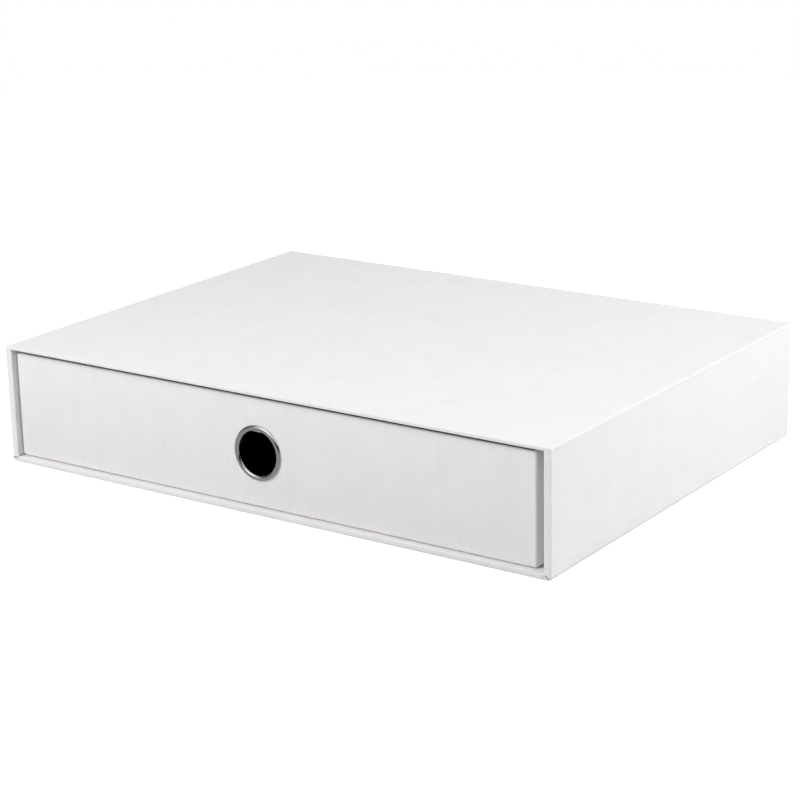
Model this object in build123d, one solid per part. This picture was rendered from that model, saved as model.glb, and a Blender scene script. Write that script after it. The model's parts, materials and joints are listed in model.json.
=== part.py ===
from build123d import *
import os

# File box with a drawer: a rigid case of greyboard panels covered with ribbed paper, and a drawer
# of the same make that slides in its open front. A metal eyelet lines the drawer's finger hole.
# Millimetres. X runs across the front, Y from the front to the back, Z up. The origin is the
# middle of the underside, so the front is at -Y and the box stands on Z = 0.

# --- Case -------------------------------------------------------------------------------------
case_width = 335.0
case_depth = 250.0
case_height = 64.0
top_board = 1.6  # greyboard panels
side_board = 1.9
side_layers = 2  # each side wall is this many boards thick
floor_board = 2.6
back_board = 1.9
cover_paper = 0.2  # ribbed covering paper, on all that shows from outside
lining_paper = 0.2  # smooth paper inside
case_turn_in = 15.0  # how far the covering is turned in at the mouth
top_edge_radius = 0.8  # long edges of the top
base_edge_radius = 2.2  # long edges of the underside, softer, where the covering folds under
end_edge_radius = 0.6  # rims of the front and the back
mouth_edge_radius = 0.6  # rim of the opening
base_sheet_margin = 3.0  # from the side walls' outer faces to the underside's sheet
base_sheet_lip_margin = 0.8  # from the mouth's sides to where that sheet turns up into the mouth
back_sheet_margin = 2.5  # from the case's outer faces to the back's sheet

# --- Drawer -----------------------------------------------------------------------------------
drawer_board = 1.9
left_play = 0.4  # side gap on the left, where the drawer lies against the case
right_play = 5.5  # side gap on the right
slide_clearance = 0.3  # under the drawer
head_clearance = 2.1  # over the drawer's rim
front_recess = 3.2  # shut drawer's front, behind the case's front
back_clearance = 0.4  # behind the shut drawer
drawer_turn_in = 18.0  # how far the covering is turned in over the rim
drawer_base_margin = 14.0  # how far the covering is turned in under the base
drawer_corner_radius = 1.2  # upright corners
drawer_base_radius = 1.4  # edges of the underside
drawer_rim_radius = 0.9  # both edges of the rim

# --- Finger hole --------------------------------------------------------------------------------
eyelet_bore = 23.2  # clear diameter
eyelet_flange = 29.0  # diameter of the front bead
eyelet_sheet = 0.5  # metal thickness
bead_height = 1.1  # front bead, above the drawer's face
clench_height = 0.85  # curled end, behind the washer
clench_width = 1.7  # curled end, from the bore outwards
curl_facets = 4  # across each curl
washer_thickness = 0.6
washer_play = 0.1  # between tube and washer
washer_bevel = 0.2
hole_play = 0.2  # between tube and the hole in the front wall

# --- Worked out from the above ------------------------------------------------------------------
half_width, half_depth = case_width / 2, case_depth / 2
papers = cover_paper + lining_paper

mouth_x = half_width - side_layers * side_board - papers  # side walls' inner faces, at +-mouth_x
floor_z = floor_board + papers  # upper face of the floor
ceiling_z = case_height - top_board - papers
inner_back_y = half_depth - back_board - papers

drawer_wall = drawer_board + papers
drawer_left, drawer_right = -mouth_x + left_play, mouth_x - right_play
drawer_front, drawer_back = -half_depth + front_recess, inner_back_y - back_clearance
drawer_bottom, drawer_rim = floor_z + slide_clearance, ceiling_z - head_clearance

hole_x = (drawer_left + drawer_right) / 2
hole_z = (drawer_bottom + drawer_rim) / 2
bore_radius = eyelet_bore / 2
tube_radius = bore_radius + eyelet_sheet
hole_radius = tube_radius + hole_play

FAR = 2 * (case_width + case_depth + case_height)  # reaches past everything
WHOLE = (-FAR, FAR)


def block(x, y, z):
    """Box between the two values given for each axis."""
    centre = [(a + b) / 2 for a, b in (x, y, z)]
    size = [b - a for a, b in (x, y, z)]
    return Pos(*centre) * Box(*size)


def case_form(cover, lining):
    """The case as one open box, with its outside in by cover and its inside out by lining."""
    x, y = half_width - cover, half_depth - cover
    form = block((-x, x), (-y, y), (cover, case_height - cover))
    form = fillet(form.edges().filter_by(Axis.Y).group_by(Axis.Z)[0], base_edge_radius - cover)
    form = fillet(form.edges().filter_by(Axis.Y).group_by(Axis.Z)[-1], top_edge_radius - cover)
    for end in (0, -1):
        rim = form.faces().sort_by(Axis.Y)[end].edges()
        form = fillet(rim, end_edge_radius - cover)
    x = mouth_x + lining
    form -= block((-x, x), (-FAR, inner_back_y + lining), (floor_z - lining, ceiling_z + lining))
    mouth = form.faces().sort_by(Axis.Y)[0].inner_wires()[0]
    return fillet(mouth.edges(), mouth_edge_radius - cover)


def drawer_form(cover, lining):
    """The drawer as one open box, with its outside in by cover and its inside out by lining."""
    form = block(
        (drawer_left + cover, drawer_right - cover),
        (drawer_front + cover, drawer_back - cover),
        (drawer_bottom + cover, drawer_rim - cover),
    )
    form = fillet(form.edges().filter_by(Axis.Z), drawer_corner_radius - cover)
    form = fillet(form.faces().sort_by(Axis.Z)[0].edges(), drawer_base_radius - cover)
    wall = drawer_wall - lining
    form -= block(
        (drawer_left + wall, drawer_right - wall),
        (drawer_front + wall, drawer_back - wall),
        (drawer_bottom + wall, FAR),
    )
    return fillet(form.faces().sort_by(Axis.Z)[-1].edges(), drawer_rim_radius - cover)


def finger_hole(radius):
    """A cylinder through the drawer's front wall."""
    return Pos(hole_x, drawer_front, hole_z) * Rot(90, 0, 0) * Cylinder(radius, 4 * drawer_wall)


def case_boards():
    """The side walls stand between the floor and the top, which run out over them."""
    form = case_form(cover_paper, lining_paper)
    low, high = cover_paper + floor_board, case_height - cover_paper - top_board
    outer = half_width - cover_paper - side_board
    inner = half_width - cover_paper - side_layers * side_board
    back = half_depth - cover_paper - back_board
    return {
        "case_floor_board": form & block(WHOLE, WHOLE, (-FAR, low)),
        "case_top_board": form & block(WHOLE, WHOLE, (high, FAR)),
        "case_left_outer_board": form & block((-FAR, -outer), WHOLE, (low, high)),
        "case_right_outer_board": form & block((outer, FAR), WHOLE, (low, high)),
        "case_left_inner_board": form & block((-outer, -inner), (-FAR, back), (low, high)),
        "case_right_inner_board": form & block((inner, outer), (-FAR, back), (low, high)),
        "case_back_board": form & block((-outer, outer), (back, FAR), (low, high)),
    }


def case_papers():
    """One sheet wraps the top and the sides and is turned in all round. The underside's sheet
    comes up over the floor's front edge, and smaller sheets line the inside and face the back."""
    skin = case_form(0, 0) - case_form(cover_paper, lining_paper)
    back_x = half_width - back_sheet_margin
    back_z = (back_sheet_margin, case_height - back_sheet_margin)
    back_sheet = block((-back_x, back_x), (half_depth - cover_paper, FAR), back_z)
    inner_x = mouth_x + lining_paper
    inner_y = (-half_depth + case_turn_in, inner_back_y + lining_paper)
    lining = block((-inner_x, inner_x), inner_y, (floor_z - lining_paper, ceiling_z + lining_paper))
    base_x = half_width - base_sheet_margin
    lip_x = mouth_x - base_sheet_lip_margin
    under = (-half_depth + base_edge_radius, half_depth - base_edge_radius)
    base_sheet = block((-base_x, base_x), under, (-FAR, cover_paper))
    base_sheet += block((-lip_x, lip_x), (-FAR, -half_depth + case_turn_in), (-FAR, floor_z))
    return {
        "case_back_sheet": skin & back_sheet,
        "case_lining": skin & lining,
        "case_base_sheet": skin & base_sheet,
        "case_cover_sheet": skin - back_sheet - lining - base_sheet,
    }


def drawer_boards():
    """All four walls stand on the base, and the side walls between the front and the back."""
    form = drawer_form(cover_paper, lining_paper) - finger_hole(hole_radius)
    skin = cover_paper + drawer_board
    floor = drawer_bottom + skin
    front, back = drawer_front + skin, drawer_back - skin
    left, right = drawer_left + skin, drawer_right - skin
    return {
        "drawer_base_board": form & block(WHOLE, WHOLE, (-FAR, floor)),
        "drawer_front_board": form & block(WHOLE, (-FAR, front), (floor, FAR)),
        "drawer_back_board": form & block(WHOLE, (back, FAR), (floor, FAR)),
        "drawer_left_board": form & block((-FAR, left), (front, back), (floor, FAR)),
        "drawer_right_board": form & block((right, FAR), (front, back), (floor, FAR)),
    }


def drawer_papers():
    """One sheet covers the four walls and is turned in over the rim and under the base."""
    skin = drawer_form(0, 0) - drawer_form(cover_paper, lining_paper) - finger_hole(hole_radius)
    wall = drawer_wall - lining_paper
    x = (drawer_left + wall, drawer_right - wall)
    y = (drawer_front + wall, drawer_back - wall)
    floor = drawer_bottom + drawer_wall
    floor_lining = block(x, y, (floor - lining_paper, floor))
    wall_lining = block(x, y, (floor, drawer_rim - drawer_turn_in))
    base_sheet = block(
        (drawer_left + drawer_base_margin, drawer_right - drawer_base_margin),
        (drawer_front + drawer_base_margin, drawer_back - drawer_base_margin),
        (-FAR, drawer_bottom + cover_paper),
    )
    return {
        "drawer_floor_lining": skin & floor_lining,
        "drawer_wall_lining": skin & wall_lining,
        "drawer_base_sheet": skin & base_sheet,
        "drawer_cover_sheet": skin - floor_lining - wall_lining - base_sheet,
    }


def curl(width, height, *hollow):
    """Section of a lip curled from sheet, with the corners of its hollow, if it is not pressed
    shut. The outside has facets in place of an arc, which keeps the meshed ring light."""
    arc = ThreePointArc((0, 0), (width / 2, height), (width, 0))
    outside = [arc @ (k / curl_facets) for k in range(curl_facets + 1)]
    return Pos(bore_radius, 0) * make_face(Polyline(*outside, *hollow, close=True))


def about_hole(section):
    """Turns a section, drawn as radius and height above the drawer's face, round the hole."""
    turned = revolve(Plane.XZ * section, Axis.Z)
    return Pos(hole_x, drawer_front, hole_z) * Rot(90, 0, 0) * turned


def eyelet():
    """Tube with a bead rolled in front and its end curled over the washer behind."""
    seat = -(drawer_wall + washer_thickness)
    tube = Pos(bore_radius + eyelet_sheet / 2, seat / 2) * Rectangle(eyelet_sheet, -seat)
    width = eyelet_flange / 2 - bore_radius
    crown = (width / 2, bead_height - eyelet_sheet)
    bead = curl(width, bead_height, (width - eyelet_sheet, 0), crown, (eyelet_sheet, 0))
    clench = Pos(0, seat) * curl(clench_width, -clench_height)
    return about_hole(tube + bead + clench)


def washer():
    """Flat ring behind the front wall, with its showing edge bevelled."""
    inner, outer = tube_radius + washer_play, eyelet_flange / 2
    middle = Pos((inner + outer) / 2, -drawer_wall - washer_thickness / 2)
    ring = middle * Rectangle(outer - inner, washer_thickness)
    showing = ring.vertices().group_by(Axis.X)[-1].sort_by(Axis.Y)[0]
    return about_hole(chamfer(showing, washer_bevel))


pieces = case_boards() | case_papers() | drawer_boards() | drawer_papers()
pieces["eyelet"] = eyelet()
pieces["eyelet_washer"] = washer()

os.makedirs("parts", exist_ok=True)
for name, piece in pieces.items():
    export_step(Compound(label=name, children=list(piece.solids())), f"parts/{name}.step")
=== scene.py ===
import json
import math

import bpy
import numpy as np
from mathutils import Matrix, Vector


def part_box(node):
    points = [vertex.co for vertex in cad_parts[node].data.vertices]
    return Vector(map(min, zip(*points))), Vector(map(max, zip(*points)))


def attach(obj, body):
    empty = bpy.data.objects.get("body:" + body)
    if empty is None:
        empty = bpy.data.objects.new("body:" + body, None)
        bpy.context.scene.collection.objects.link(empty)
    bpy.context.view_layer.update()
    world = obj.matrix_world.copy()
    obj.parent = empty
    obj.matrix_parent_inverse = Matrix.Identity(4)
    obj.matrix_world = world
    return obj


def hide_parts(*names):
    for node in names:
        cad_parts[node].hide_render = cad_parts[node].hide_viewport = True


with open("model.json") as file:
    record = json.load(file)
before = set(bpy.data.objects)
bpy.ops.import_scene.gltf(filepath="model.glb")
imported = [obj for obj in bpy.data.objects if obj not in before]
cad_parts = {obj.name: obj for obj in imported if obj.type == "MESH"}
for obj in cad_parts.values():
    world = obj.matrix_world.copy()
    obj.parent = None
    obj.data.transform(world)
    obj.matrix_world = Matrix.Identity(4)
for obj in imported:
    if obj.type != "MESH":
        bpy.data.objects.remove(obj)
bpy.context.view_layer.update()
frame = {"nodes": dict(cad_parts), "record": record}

# File box with a drawer: greyboard covered with ribbed white paper. The frame holds the boards and
# the linings. Here are the covering papers, folded from ribbed sheet, the metal of the finger hole,
# the finishes and the studio. Lengths are millimetres until a mesh is made.

METRES = 0.001

# --- Paper ----------------------------------------------------------------------------------------
rib_pitch = 1.15  # from one embossed groove to the next
rib_depth = 0.115
rib_section = np.array([0.0, 0.35, 1.0, 0.35])  # share of the depth at each quarter of a pitch
rib_strengths = np.random.default_rng(5).uniform(0.93, 1.07, 401)  # no two grooves are quite alike
glued_depth = 0.19  # the paper's glued face, below its smooth face; the boards begin at 0.2
tucked_depth = 0.09  # tucked paper, below the sheet that is folded over it
crease_depth = 0.185
crease_width = 0.7  # half of it slopes down from the tucked paper and half is level
seam_depth = 0.15  # tucked paper beside the base sheet's edge; this depth also paints shade along the seam
crease_top = 0.35  # where a lower corner's crease starts at the mouth, below the floor's face
crease_foot = {-1: 2.3, 1: 0.7}  # height at which it meets the outside, left and right
crease_end = 0.3  # short of the outside
turn_steps = 5  # points round a quarter turn
tuck_steps = 9  # points across the tucked paper, closer together towards the outside
fold_angle = 40  # degrees from which a fold in paper shows as an edge
weld = 0.002  # points nearer than this are one

case_turn_in = 15.0  # depth of the covering inside the mouth
top_edge_radius = 0.8
base_edge_radius = 2.2
rim_radius = 0.6  # the case's front and back rims, and its mouth
lip_margin = 0.8  # from the mouth's sides to the base sheet's lip
lining_thickness = 0.2

drawer_turn_in = 18.0
drawer_base_margin = 14.0
drawer_corner_radius = 1.2
drawer_base_radius = 1.4
drawer_rim_radius = 0.9
drawer_wall = 2.3

# --- Finger hole ------------------------------------------------------------------------------------
bore_radius = 11.6  # inside the eyelet
eyelet_sheet = 0.5
tube_radius = bore_radius + eyelet_sheet
paper_hole_radius = tube_radius + 0.2
clench_width = 1.7
washer_play = 0.1
washer_bevel = 0.2
bend_steps = 15  # points round each curl
ring_steps = 128  # points round the hole
metal_angle = 50  # degrees from which a bend in metal shows as an edge


def span(node):
    """Lowest and highest corner of a node, in millimetres."""
    low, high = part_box(node)
    return np.array(low) / METRES, np.array(high) / METRES


# --- Mesh tools -----------------------------------------------------------------------------------
def rib_marks(start, end):
    """Places across the ribs from start to end, four to a pitch, and the groove's depth at each.
    The grooves fade out at both ends."""
    step = rib_pitch / len(rib_section)
    count = np.arange(math.floor(start / step) + 1, math.ceil(end / step))
    strength = rib_strengths[(count // len(rib_section)) % len(rib_strengths)]
    depths = rib_depth * strength * rib_section[count % len(rib_section)]
    return np.concatenate([[start], count * step, [end]]), np.concatenate([[0], depths, [0]])


def straight(start, end, outward):
    """Straight stretch of a section, ribbed across: points, outward normals and groove depths."""
    start, end = np.array(start, float), np.array(end, float)
    along = abs(end - start).argmax()
    places, depths = rib_marks(min(start[along], end[along]), max(start[along], end[along]))
    if end[along] < start[along]:
        places, depths = places[::-1], depths[::-1]
    points = np.tile(start, (len(places), 1))
    points[:, along] = places
    return points, np.tile(np.array(outward, float), (len(places), 1)), depths


def corner(centre, radius, first, last):
    """Rounded corner of a section, from one bearing to the other, smooth."""
    bearings = np.radians(np.linspace(first, last, turn_steps))
    outward = np.column_stack([np.cos(bearings), np.sin(bearings)])
    return np.array(centre) + radius * outward, outward, np.zeros(turn_steps)


def joined(*stretches):
    """One section from several stretches."""
    return [np.concatenate(parts) for parts in zip(*stretches)]


def rounding(radius):
    """Rounded edge, as (distance in from the wall, distance short of the end, cosine, sine)."""
    bearings = np.linspace(0, math.pi / 2, turn_steps)
    return [
        (radius * (1 - math.cos(b)), radius * (1 - math.sin(b)), math.cos(b), math.sin(b))
        for b in bearings
    ]


def swept(section, low, high, axis, profile):
    """Rows of sheet that carry a section along an axis. Each row of the profile is (inset, level,
    share of the outward normal, share of the axis in the normal); insets are mitred at corners."""
    points, outward, depths = section
    rows = []
    for inset, level, share_out, share_axis in profile:
        flat = np.clip(points - inset * outward, low + inset, high - inset)
        place = np.insert(flat, axis, level, axis=1)
        normal = np.insert(share_out * outward, axis, share_axis, axis=1)
        rows.append((place, normal, depths))
    return rows


def row(x, y, z, normal, depths):
    """One row of sheet from coordinates that are numbers or lists."""
    x, y, z, depths = np.broadcast_arrays(x, y, z, depths)
    return np.column_stack([x, y, z]).astype(float), np.array(normal, float), depths


def link(piece):
    bpy.context.scene.collection.objects.link(piece)
    return piece


def finished(name, places, faces, material, body, sharp_angle, pressed=()):
    """Makes a piece of the object, smooth but for its folds. Pressed says how deep each of its
    first points is pressed in, which sets the painted shade in its grooves and creases."""
    mesh = bpy.data.meshes.new(name)
    mesh.from_pydata([tuple(p * METRES) for p in places], [], faces)
    depths = np.zeros(len(places))
    depths[: len(pressed)] = pressed
    mesh.attributes.new("pressed", "FLOAT", "POINT").data.foreach_set("value", depths)
    mesh.polygons.foreach_set("use_smooth", [True] * len(mesh.polygons))
    mesh.set_sharp_from_angle(angle=math.radians(sharp_angle))
    mesh.materials.append(material)
    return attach(link(bpy.data.objects.new(name, mesh)), body)


def patch(rows, depth=0.0, without=()):
    """A patch of sheet, pressed in by its grooves: places, smooth places, normals, and faces that
    turn along the normals. There is no paper after the rows numbered in without."""
    smooth = np.array([p for p, n, d in rows])
    places = np.array([p - n * (d[:, None] + depth) for p, n, d in rows])
    normals = np.array([np.broadcast_to(n, p.shape) for p, n, d in rows])
    number = np.arange(places[..., 0].size).reshape(places.shape[:2])
    faces = []
    for i in range(len(rows) - 1):
        across = places[i + 1] - places[i]
        along = np.diff(places[i], axis=0) + np.diff(places[i + 1], axis=0)
        facing = np.cross(along, across[1:] + across[:-1])
        turn = -1 if (facing * (normals[i] + normals[i + 1])[1:]).sum() < 0 else 1
        ring = np.column_stack([number[i, :-1], number[i, 1:], number[i + 1, 1:], number[i + 1, :-1]])
        faces += [] if i in without else [ring[:, ::turn]]
    return *[a.reshape(-1, 3) for a in (places, smooth, normals)], np.concatenate(faces)


def fold_sheet(name, patches, material, body):
    """Joins patches along their edges into one sheet and gives it a glued face behind."""
    made = [patch(*arguments) for arguments in patches]
    counts = np.cumsum([0] + [len(parts[0]) for parts in made])
    places, smooth, normals = [np.concatenate([parts[i] for parts in made]) for i in range(3)]
    faces = np.concatenate([parts[3] + count for parts, count in zip(made, counts)])
    _, first, same = np.unique((places / weld).round(), axis=0, return_index=True, return_inverse=True)
    same = same.ravel()
    mean = np.zeros((len(first), 3))
    np.add.at(mean, same, normals)
    mean /= np.maximum(np.linalg.norm(mean, axis=1, keepdims=True), weld)
    outer = places[first]
    shown = [list(dict.fromkeys(ring)) for ring in same[faces].tolist()]
    shown = [ring for ring in shown if len(ring) > 2]
    inner = len(outer)
    hidden = [[v + inner for v in ring[::-1]] for ring in shown]
    uses = {}
    for ring in shown:
        for edge in zip(ring, ring[1:] + ring[:1]):
            uses.setdefault(frozenset(edge), []).append(edge)
    rims = [[e[1], e[0], e[0] + inner, e[1] + inner] for (e, *more) in uses.values() if not more]
    solid = np.concatenate([outer, smooth[first] - glued_depth * mean])
    pressed = np.linalg.norm(smooth[first] - outer, axis=1)
    return finished(name, solid, shown + hidden + rims, material, body, fold_angle, pressed)


def spin(name, section, centre, material, body):
    """Turns a closed section of (radius, distance behind the drawer's face) round the finger hole."""
    places, faces, count = [], [], len(section)
    for i, turn in enumerate(np.linspace(0, 2 * math.pi, ring_steps, endpoint=False)):
        out = np.array([math.cos(turn), 0, math.sin(turn)])
        places += [centre + radius * out + (0, y, 0) for radius, y in section]
        here, there = i * count, (i + 1) % ring_steps * count
        for j in range(count):
            before = (j - 1) % count
            faces.append([here + before, here + j, there + j, there + before])
    return finished(name, places, faces, material, body, metal_angle)


# --- Materials ------------------------------------------------------------------------------------
cloud_range = (0.35, 0.65)  # of the pattern, over which a clouded colour changes
fibre_strength = 0.3  # how much of the fibres' relief the finish shows
gloss_range = (0.8, 1.25)  # shares of a metal's roughness, where it is least and most handled
shade_power = 4.0  # power of the depth by which the painted shade of pressed paper deepens
MIX_A, MIX_B, MIX_RESULT = 6, 7, 2  # sockets of the Mix node that take colours


def colour(code):
    """sRGB hex to the linear colour that shaders take."""
    parts = [int(code[i : i + 2], 16) / 255 for i in (0, 2, 4)]
    return (*[p / 12.92 if p <= 0.04045 else ((p + 0.055) / 1.055) ** 2.4 for p in parts], 1.0)


def add(tree, kind, inputs, **settings):
    """Adds a node, sets it up, and links or sets each of its inputs."""
    node = tree.nodes.new("ShaderNode" + kind)
    for key, value in settings.items():
        setattr(node, key, value)
    for key, value in inputs.items():
        if isinstance(value, bpy.types.NodeSocket):
            tree.links.new(value, node.inputs[key])
        else:
            node.inputs[key].default_value = value
    return node


def mottle(tree, size, detail):
    """An uneven pattern with features about this many millimetres large, fixed to the piece."""
    place = add(tree, "TexCoord", {}).outputs["Object"]
    inputs = {"Vector": place, "Scale": 1 / (size * METRES), "Detail": detail}
    return add(tree, "TexNoise", inputs).outputs["Fac"]


def clouded(tree, size, tones):
    """A colour that drifts between two tones over patches about this many millimetres across."""
    ramp = add(tree, "ValToRGB", {"Fac": mottle(tree, size, 2.0)})
    for stop, place, tone in zip(ramp.color_ramp.elements, cloud_range, tones):
        stop.position = place
        stop.color = colour(tone)
    return ramp.outputs["Color"]


def new_material(name, shader_inputs):
    """A material of one shader, whose inputs are made by a function of the node tree."""
    material = bpy.data.materials.new(name)
    material.use_nodes = True
    tree = material.node_tree
    tree.nodes.clear()
    shader = add(tree, "BsdfPrincipled", shader_inputs(tree))
    add(tree, "OutputMaterial", {"Surface": shader.outputs["BSDF"]})
    return material


def painted_groove_shade(tree, tone, shaded_crease):
    """A tone that goes over to a painted shade, a little in the grooves and fully in the creases."""
    depth = add(tree, "Attribute", {}, attribute_name="pressed").outputs["Fac"]
    share = add(tree, "MapRange", {"Value": depth, "From Max": crease_depth}).outputs["Result"]
    steep = add(tree, "Math", {0: share, 1: shade_power}, operation="POWER").outputs["Value"]
    inputs = {"Factor": steep, MIX_A: tone, MIX_B: colour(shaded_crease)}
    return add(tree, "Mix", inputs, data_type="RGBA").outputs[MIX_RESULT]


def fibrous(name, tones, cloud, fibre, relief, roughness, specular, shaded_crease=None):
    """Paper or board: clouds of fibre in the colour and matted fibres in the surface."""

    def inputs(tree):
        height = mottle(tree, fibre, 4.0)
        bump = {"Strength": fibre_strength, "Distance": relief * METRES, "Height": height}
        tone = clouded(tree, cloud, tones)
        return {
            "Base Color": painted_groove_shade(tree, tone, shaded_crease) if shaded_crease else tone,
            "Roughness": roughness,
            "IOR": 1.45,
            "Specular IOR Level": specular,
            "Normal": add(tree, "Bump", bump).outputs["Normal"],
        }

    return new_material(name, inputs)


def plated(name, tone, roughness, mark):
    """Plated steel, with the fine marks of handling in its gloss."""

    def inputs(tree):
        low, high = [roughness * share for share in gloss_range]
        spread = {"Value": mottle(tree, mark, 5.0), "To Min": low, "To Max": high}
        gloss = add(tree, "MapRange", spread).outputs["Result"]
        return {"Base Color": colour(tone), "Metallic": 1.0, "Roughness": gloss}

    return new_material(name, inputs)


finish_of_slot = {
    # Book-covering paper, white, embossed with ribs and matt: soft white, faintly clouded by fibre,
    # with painted shade that darkens it the deeper it is pressed in, a little in the grooves and
    # fully in the creases. The real fibres are finer than 0.3 mm, which is as coarse as they need to
    # show.
    "ribbed_paper": fibrous(
        "embossed_paper",
        tones=("eeeced", "f0eeef"),
        cloud=14.0,
        fibre=0.3,
        relief=0.02,
        roughness=0.7,
        specular=0.35,
        # tone of the painted shade that fills the creases
        shaded_crease="524f4f",
    ),
    # Lining paper, uncoated: dull dark grey, a painted shade for the dark inside of the box and the
    # finger hole, with fibres as fine.
    "lining_paper": fibrous(
        "lining_paper",
        tones=("39393a", "404041"),
        cloud=6.0,
        fibre=0.3,
        relief=0.02,
        roughness=0.85,
        specular=0.25,
    ),
    # Greyboard of recycled fibre, pressed and left raw: brownish grey, specked, dull.
    "greyboard": fibrous(
        "greyboard",
        tones=("8d887e", "a6a196"),
        cloud=1.2,
        fibre=0.8,
        relief=0.05,
        roughness=0.9,
        specular=0.2,
    ),
    # Nickel plate, polished: a mirror of neutral grey.
    "nickel_plate": plated("nickel_plate", tone="c8c8c6", roughness=0.1, mark=0.4),
    # Zinc plate as it leaves the bath: cooler and softer.
    "zinc_steel": plated("zinc_plate", tone="a9adb0", roughness=0.35, mark=0.2),
}


def dress_frame():
    """Gives each node of the frame the finish of its slot."""
    for part in frame["record"]["subparts"]:
        materials = frame["nodes"][part["node"]].data.materials
        materials.clear()
        materials.append(finish_of_slot[part["material_slot"]])


# --- Case -----------------------------------------------------------------------------------------
case_low, case_high = span("case_cover_sheet")
base_low, base_high = span("case_base_sheet")
back_low, back_high = span("case_back_sheet")
_, lining_high = span("case_lining")
front_y, back_y = case_low[1], case_high[1]
half_width, height = case_high[0], case_high[2]
mouth_x = lining_high[0] - lining_thickness
floor_z = base_high[2]
ceiling_z = lining_high[2] - lining_thickness
lip_x = mouth_x - lip_margin
turned_to = front_y + case_turn_in
flat_low, flat_high = case_low[[0, 2]], case_high[[0, 2]]
w, h, r, b = half_width, height, top_edge_radius, base_edge_radius

left_side = joined(
    corner((b - w, b), b, 270, 180),
    straight((-w, b), (-w, h - r), (-1, 0)),
    corner((r - w, h - r), r, 180, 90),
)
right_side = joined(
    corner((w - r, h - r), r, 90, 0),
    straight((w, h - r), (w, b), (1, 0)),
    corner((w - b, b), b, 0, -90),
)
top_side = straight((r - w, h), (w - r, h), (0, 1))


def front_rows(section, profile):
    """Rows of sheet round the front, from (distance in from the outside, y, outward, forward)."""
    return swept(section, flat_low, flat_high, 1, profile)


def case_cover():
    """The sheet round the top and the sides, turned in at the back and into the mouth."""
    over_front = [(sunk, front_y + short, c, -s) for sunk, short, c, s in rounding(rim_radius)]
    over_back = [(sunk, back_y - short, c, s) for sunk, short, c, s in rounding(rim_radius)]
    back_edge = back_y - base_edge_radius
    seam = base_high[0]  # where the base sheet begins
    inset = height - back_high[2]  # where the back sheet begins
    tail_left = straight((-seam, 0), (b - w, 0), (0, -1))
    tail_right = straight((w - b, 0), (seam, 0), (0, -1))
    wrap = joined(tail_left, left_side, top_side, right_side, tail_right)
    foot = straight((-seam, 0), (seam, 0), (0, -1))
    behind = over_back + [(inset, back_y, 0, 1)]
    patches = [
        (front_rows(wrap, over_front[::-1] + behind),),
        (front_rows(foot, [(0, back_edge, 1, 0)] + behind),),
    ]
    for side in (-1, 1):
        patches += side_turn_in(side) + corner_tuck(side)
    return patches + [top_turn_in()]


def mouth_rounding():
    """(distance out from the mouth, y, share facing the front, share facing into the mouth)."""
    return [(sunk, front_y + short, s, c) for sunk, short, c, s in rounding(rim_radius)[::-1]]


def crease_z(side, x):
    """Height of a lower corner's crease, which runs from the mouth's corner to the outside."""
    top, foot = floor_z - crease_top, crease_foot[side]
    start, end = mouth_x + rim_radius, half_width - crease_end
    share = np.clip((abs(x) - start) / (end - start), 0, 1)
    return top + (foot - top) * share


def side_turn_in(side):
    """A side's part of the cover, across the front and into the mouth, with its ribs level."""
    points, outward, depths = left_side if side < 0 else right_side
    rim = points - rim_radius * outward
    edge_x = side * (mouth_x + rim_radius)
    faces_front = (0, -1, 0)
    z = rim[:, 1]
    across = []
    for share in np.linspace(0, 1, turn_steps):
        x = rim[:, 0] * (1 - share) + edge_x * share
        foot = crease_z(side, x)
        pressed = np.where(z < foot, crease_depth, depths)
        across.append(row(x, front_y, np.maximum(z, foot), faces_front, pressed))
    inward = []
    for out, y, forward, into in mouth_rounding() + [(0, turned_to, 0, 1)]:
        level = np.clip(z, floor_z - out, ceiling_z + out)
        inward.append(row(side * (mouth_x + out), y, level, (-side * into, -forward, 0), depths))
    return [(across,), (inward,)]


def corner_tuck(side):
    """Paper folded under the crease at a lower front corner, and up on to the floor."""
    outer = half_width - base_edge_radius
    x, depths = rib_marks(lip_x, outer)
    x, depths = side * x, depths * 0
    down = [(0, base_edge_radius, 1, 0)] + rounding(rim_radius)
    under = [row(x, front_y + short, sunk, (0, -s, -c), depths) for sunk, short, c, s in down]
    end = half_width - rim_radius
    arc = side * (end - np.linspace(0, 1, tuck_steps) ** 2 * (end - lip_x))[::-1]
    bend = base_edge_radius - rim_radius
    past = np.clip(abs(arc) - outer, 0, bend)
    bottom = base_edge_radius - np.sqrt(bend**2 - past**2)
    shaded_crease = abs(arc) > mouth_x + rim_radius
    top = np.maximum(bottom, np.where(shaded_crease, crease_z(side, arc), floor_z - rim_radius))
    shoulder, brink = [np.maximum(bottom, top - share * crease_width) for share in (1, 0.5)]
    seam = np.where(abs(arc) < lip_x + weld, seam_depth - tucked_depth, 0)
    pressed = np.where(shaded_crease, crease_depth - tucked_depth, seam)
    middle = (bottom + shoulder) / 2
    levels = [(bottom, seam), (middle, seam), (shoulder, seam), (brink, pressed), (top, pressed)]
    face = [row(arc, front_y, level, (0, -1, 0), sunk) for level, sunk in levels]
    x, depths = rib_marks(lip_x, mouth_x + rim_radius)
    inward = []
    for out, y, forward, into in mouth_rounding() + [(0, turned_to, 0, 1)]:
        place = side * np.clip(x, 0, mouth_x + out)
        inward.append(row(place, y, floor_z - out, (0, -forward, into), depths * 0))
    return [(under, tucked_depth), (face, tucked_depth), (inward, tucked_depth)]


def top_turn_in():
    """The top's part of the cover, down the front and into the mouth, with its ribs upright."""
    edge_x = mouth_x + rim_radius
    x, depths = rib_marks(-edge_x, edge_x)
    rows = [row(x, front_y, height - rim_radius, (0, -1, 0), depths)]
    for out, y, forward, into in mouth_rounding() + [(0, turned_to, 0, 1)]:
        place = np.clip(x, -mouth_x - out, mouth_x + out)
        rows.append(row(place, y, ceiling_z + out, (0, -forward, -into), depths))
    return (rows,)


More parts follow.
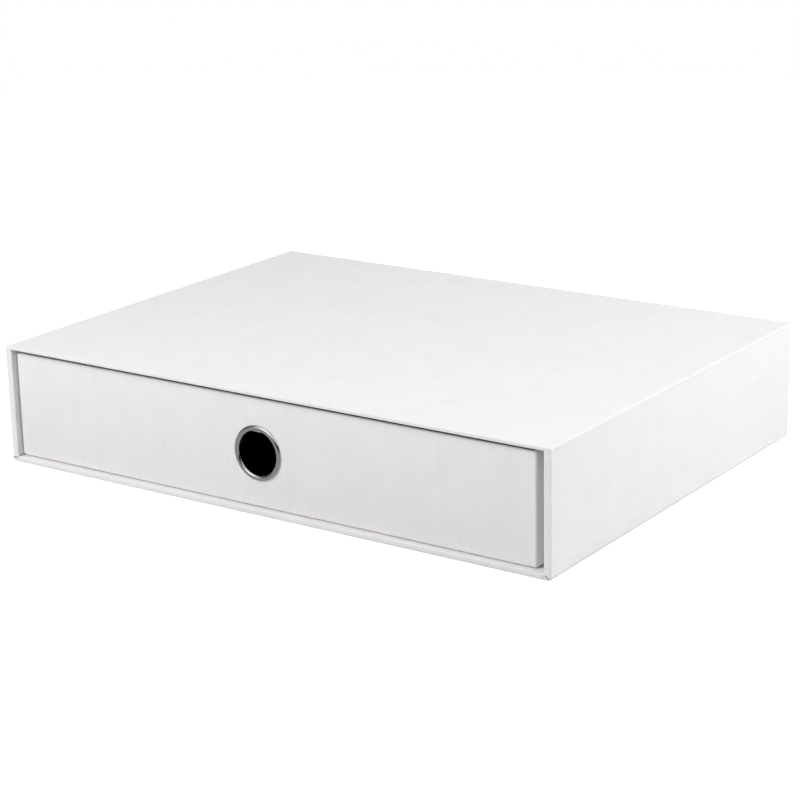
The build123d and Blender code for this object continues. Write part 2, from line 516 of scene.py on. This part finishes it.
def base_sheet():
    """The underside's sheet, up over the floor's front edge and into the mouth."""
    x, depths = rib_marks(base_low[0], base_high[0])
    under = [row(x, y, 0, (0, 0, -1), depths) for y in (base_high[1], front_y + base_edge_radius)]
    x, depths = rib_marks(-lip_x, lip_x)
    rows = [row(x, front_y + base_edge_radius, 0, (0, 0, -1), depths)]
    for sunk, short, c, s in rounding(rim_radius):
        rows.append(row(x, front_y + short, sunk, (0, -s, -c), depths))
    for out, y, forward, into in mouth_rounding() + [(0, turned_to, 0, 1)]:
        rows.append(row(x, y, floor_z - out, (0, -forward, into), depths))
    return [(under,), (rows,)]


def back_sheet():
    """The sheet on the back, over the cover's turned edges, with its ribs upright."""
    x, depths = rib_marks(back_low[0], back_high[0])
    return [([row(x, back_y, z, (0, 1, 0), depths) for z in (back_low[2], back_high[2])],)]


# --- Drawer ---------------------------------------------------------------------------------------
drawer_low, drawer_high = span("drawer_cover_sheet")
eyelet_low, eyelet_high = span("eyelet")
hole_centre = (eyelet_low + eyelet_high) / 2
face_y = drawer_low[1]


def drawer_profile():
    """The drawer's cover from under the base, up the wall, over the rim and down inside, as
    (inset, z, share of the outward normal, share upwards)."""
    bottom, rim = drawer_low[2], drawer_high[2]
    under = [(drawer_base_margin, bottom, 0, -1)]
    foot = [(sunk, bottom + short, c, -s) for sunk, short, c, s in rounding(drawer_base_radius)[::-1]]
    over = [(sunk, rim - short, c, s) for sunk, short, c, s in rounding(drawer_rim_radius)]
    within = [(drawer_wall - sunk, level, -c, s) for sunk, level, c, s in over[::-1]]
    return under + foot, over + within + [(drawer_wall, rim - drawer_turn_in, -1, 0)]


def drawer_sides():
    """Section of each of the drawer's walls; the front and the back take the rounded corners."""
    (x0, y0, _), (x1, y1, _) = drawer_low, drawer_high
    c = drawer_corner_radius
    return {
        "front": joined(
            corner((x0 + c, y0 + c), c, 180, 270),
            straight((x0 + c, y0), (x1 - c, y0), (0, -1)),
            corner((x1 - c, y0 + c), c, 270, 360),
        ),
        "right": straight((x1, y0 + c), (x1, y1 - c), (1, 0)),
        "back": joined(
            corner((x1 - c, y1 - c), c, 0, 90),
            straight((x1 - c, y1), (x0 + c, y1), (0, 1)),
            corner((x0 + c, y1 - c), c, 90, 180),
        ),
        "left": straight((x0, y1 - c), (x0, y0 + c), (-1, 0)),
    }


def drawer_cover(side, section):
    """One wall's part of the drawer's cover, which the finger hole pierces in front."""
    lower, upper = drawer_profile()
    below = swept(section, drawer_low[:2], drawer_high[:2], 2, lower)
    above = swept(section, drawer_low[:2], drawer_high[:2], 2, upper)
    if side != "front":
        return [(below + above,)]
    points, outward, depths = section
    reach = np.sqrt(np.clip(paper_hole_radius**2 - (points[:, 0] - hole_centre[0]) ** 2, 0, None))
    normal = np.insert(outward, 2, 0, axis=1)
    edges = [np.column_stack([points, hole_centre[2] + s * reach]) for s in (-1, 1)]
    hole = [(edge, normal, depths) for edge in edges]
    return [(below + hole + above, 0.0, [len(below)])]


def eyelet_section():
    """Closed section of the eyelet: bead in front, tube, and end curled over the washer."""
    flange = (eyelet_high[0] - eyelet_low[0]) / 2
    bead_height = face_y - eyelet_low[1]
    seat = drawer_wall + washer_thickness()
    clench_height = eyelet_high[1] - face_y - seat
    turns = np.linspace(0, math.pi, bend_steps)

    def curl(width, rise, level, sign, sunk):
        """One side of a curled lip: its outside, or its inside that is sunk by the sheet."""
        half, rise, start = width / 2 - sunk, rise - sunk, bore_radius + sunk
        return [(start + half * (1 - math.cos(a)), level + sign * rise * math.sin(a)) for a in turns]

    bead = [curl(flange - bore_radius, bead_height, 0, -1, sunk) for sunk in (0, eyelet_sheet)]
    clench = [curl(clench_width, clench_height, seat, 1, sunk) for sunk in (eyelet_sheet, 0)]
    return bead[0] + bead[1][::-1] + clench[0] + clench[1][::-1]


def washer_thickness():
    low, high = span("eyelet_washer")
    return high[1] - low[1]


def washer_section():
    inner, outer = tube_radius + washer_play, (eyelet_high[0] - eyelet_low[0]) / 2
    near, far = drawer_wall, drawer_wall + washer_thickness()
    bevel = [(outer, far - washer_bevel), (outer - washer_bevel, far)]
    return [(inner, near), (outer, near), *bevel, (inner, far)]


def make_pieces():
    paper = finish_of_slot["ribbed_paper"]
    made = [
        (fold_sheet("case_cover", case_cover(), paper, "case"), "case_cover_sheet", "ribbed_paper"),
        (fold_sheet("case_base_paper", base_sheet(), paper, "case"), "case_base_sheet", "ribbed_paper"),
        (fold_sheet("case_back_paper", back_sheet(), paper, "case"), "case_back_sheet", "ribbed_paper"),
    ]
    for side, section in drawer_sides().items():
        cover = fold_sheet("drawer_cover_" + side, drawer_cover(side, section), paper, "drawer")
        made.append((cover, "drawer_cover_sheet", "ribbed_paper"))
    centre = np.array([hole_centre[0], face_y, hole_centre[2]])
    nickel, zinc = finish_of_slot["nickel_plate"], finish_of_slot["zinc_steel"]
    eyelet = spin("finger_hole_eyelet", eyelet_section(), centre, nickel, "drawer")
    washer = spin("finger_hole_washer", washer_section(), centre, zinc, "drawer")
    made += [(eyelet, "eyelet", "nickel_plate"), (washer, "eyelet_washer", "zinc_steel")]
    for piece, node, slot in made:
        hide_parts(node)


# --- Studio ---------------------------------------------------------------------------------------
def set_camera():
    """Stands to the right of the front and looks down on the box, slightly tilted."""
    azimuth, elevation, roll = math.radians(34.795), math.radians(17.092), math.radians(-1.178)
    aim = Vector((85.7, -125.0, 73.9)) * METRES
    distance = 1.052
    picture_width, focal_length = 800, 2260  # in pixels
    back = Vector((math.sin(azimuth), -math.cos(azimuth), math.tan(elevation))).normalized()
    level = Vector((math.cos(azimuth), math.sin(azimuth), 0))
    upright = back.cross(level)
    right = math.cos(roll) * level + math.sin(roll) * upright
    up = back.cross(right)
    camera = link(bpy.data.objects.new("camera", bpy.data.cameras.new("camera")))
    turn = Matrix((right, up, back)).transposed().to_4x4()
    camera.matrix_world = Matrix.Translation(aim + back * distance) @ turn
    camera.data.sensor_width = 36
    camera.data.lens = camera.data.sensor_width * focal_length / picture_width
    bpy.context.scene.camera = camera


lamp_distance = 1.3
lamp_size = 0.6
lamps = {  # bearing from the front towards the right, height in degrees, level
    "front_low_lamp": (-25, 12, 0.27),
    "front_high_lamp": (-15, 42, 0.49),
    "right_lamp": (105, 25, 0.62),
    "top_right_lamp": (90, 55, 0.26),
    "left_lamp": (-90, 8, 0.40),
    "back_lamp": (-160, 10, 0.40),
}
room_level = 0.1
floor_reach = 1.3  # beyond it the white room shows
floor_sides = 96
floor_tone = "b8b8b8"
floor_glow = 0.86  # with the lamps' light, it makes the floor show as white
screen_radius = 1.0
screens = {  # bearings, heights in metres, tone, strength
    "left_screen": (-125, -42, 0.0, 1.2, "4c4c4c", 1.0),
    "front_screen": (-42, -3, 0.0, 0.25, "b4b4b4", 1.0),
    "camera_screen": (-3, 62, 0.0, 0.45, "080808", 1.0),
    "right_screen": (62, 125, 0.0, 0.42, "787878", 1.0),
    "bright_screen": (-30, 14, 0.45, 2.0, "ffffff", 1.8),
}
screen_steps = 24
floor_screen_side = 0.9  # metres to the left and right
floor_screen_tone = "a8a8a8"
clear = 0.001  # metres from the floor's screen to the floor and the box


def lamp(name, bearing, rise, level):
    """Soft square lamp. Level is the brightness that it alone gives a white face turned to it.
    The metal mirrors the screens in its place."""
    data = bpy.data.lights.new(name, "AREA")
    data.shape = "SQUARE"
    data.size = lamp_size
    data.energy = level * (math.pi * lamp_distance) ** 2
    bearing, rise = math.radians(bearing), math.radians(rise)
    level_reach = math.cos(rise)
    away = Vector((math.sin(bearing) * level_reach, -math.cos(bearing) * level_reach, math.sin(rise)))
    aim = Vector((0, 0, height / 2 * METRES))
    piece = link(bpy.data.objects.new(name, data))
    turn = away.to_track_quat("Z", "Y").to_matrix().to_4x4()
    piece.matrix_world = Matrix.Translation(aim + away * lamp_distance) @ turn
    piece.visible_glossy = False


def set_studio():
    for name, (bearing, rise, level) in lamps.items():
        lamp(name, bearing, rise, level)

    world = bpy.data.worlds.new("studio")
    bpy.context.scene.world = world
    world.use_nodes = True
    tree = world.node_tree
    tree.nodes.clear()
    seen = white_where_seen(tree)
    strength = add(tree, "MapRange", {"Value": seen, "To Min": room_level, "To Max": 1.0})
    back = add(tree, "Background", {"Color": (1, 1, 1, 1), "Strength": strength.outputs["Result"]})
    add(tree, "OutputWorld", {"Surface": back.outputs["Background"]})

    turns = np.linspace(0, 2 * math.pi, floor_sides, endpoint=False)
    edge = [(floor_reach * math.cos(a), floor_reach * math.sin(a), 0) for a in turns]
    staged("floor", edge, [tuple(range(len(edge)))], floor_material())
    set_screens()
    bpy.context.scene.view_settings.view_transform = "Standard"


def staged(name, places, faces, material):
    """A piece of the studio."""
    mesh = bpy.data.meshes.new(name)
    mesh.from_pydata(places, [], faces)
    mesh.materials.append(material)
    piece = link(bpy.data.objects.new(name, mesh))
    return piece


def screen(name, places, faces, tone, strength=1.0):
    """A studio screen that only gloss shows and that keeps no light from the box."""
    material = bpy.data.materials.new(name)
    material.use_nodes = True
    tree = material.node_tree
    tree.nodes.clear()
    light = add(tree, "Emission", {"Color": colour(tone), "Strength": strength})
    add(tree, "OutputMaterial", {"Surface": light.outputs["Emission"]})
    piece = staged(name, places, faces, material)
    for ray in ("camera", "diffuse", "transmission", "volume_scatter", "shadow"):
        setattr(piece, "visible_" + ray, False)


def set_screens():
    """Screens for the metal, which else mirrors white all round: greys to both sides and on the
    floor in front, nearly black towards the camera, and a bright one high in front."""
    for name, (first, last, low, high, tone, strength) in screens.items():
        turns = np.radians(np.linspace(first, last, screen_steps))
        line = [(screen_radius * math.sin(a), -screen_radius * math.cos(a)) for a in turns]
        places = [(x, y, z) for z in (low, high) for x, y in line]
        ring = [(i, i + 1, i + 1 + len(line), i + len(line)) for i in range(len(line) - 1)]
        screen(name, places, ring, tone, strength)
    side, near, far = floor_screen_side, front_y * METRES - clear, -screen_radius
    places = [(x, y, clear) for x, y in ((-side, far), (side, far), (side, near), (-side, near))]
    screen("floor_screen", places, [(0, 1, 2, 3)], floor_screen_tone)


def white_where_seen(tree):
    """1 for what the camera, a mirror or a glass sees, and 0 for light that falls on things."""
    path = add(tree, "LightPath", {})
    seen = path.outputs["Is Camera Ray"]
    for other in ("Is Glossy Ray", "Is Transmission Ray"):
        both = add(tree, "Math", {0: seen, 1: path.outputs[other]}, operation="MAXIMUM")
        seen = both.outputs["Value"]
    return seen


def floor_material():
    """White paper sweep: it shows as white and still takes the box's shadow."""
    material = bpy.data.materials.new("white_sweep")
    material.use_nodes = True
    tree = material.node_tree
    tree.nodes.clear()
    diffuse = add(tree, "BsdfDiffuse", {"Color": colour(floor_tone)})
    glow = add(tree, "MapRange", {"Value": white_where_seen(tree), "To Max": floor_glow})
    light = add(tree, "Emission", {"Color": (1, 1, 1, 1), "Strength": glow.outputs["Result"]})
    both = add(tree, "AddShader", {0: diffuse.outputs["BSDF"], 1: light.outputs["Emission"]})
    add(tree, "OutputMaterial", {"Surface": both.outputs["Shader"]})
    return material


dress_frame()
make_pieces()
set_camera()
set_studio()
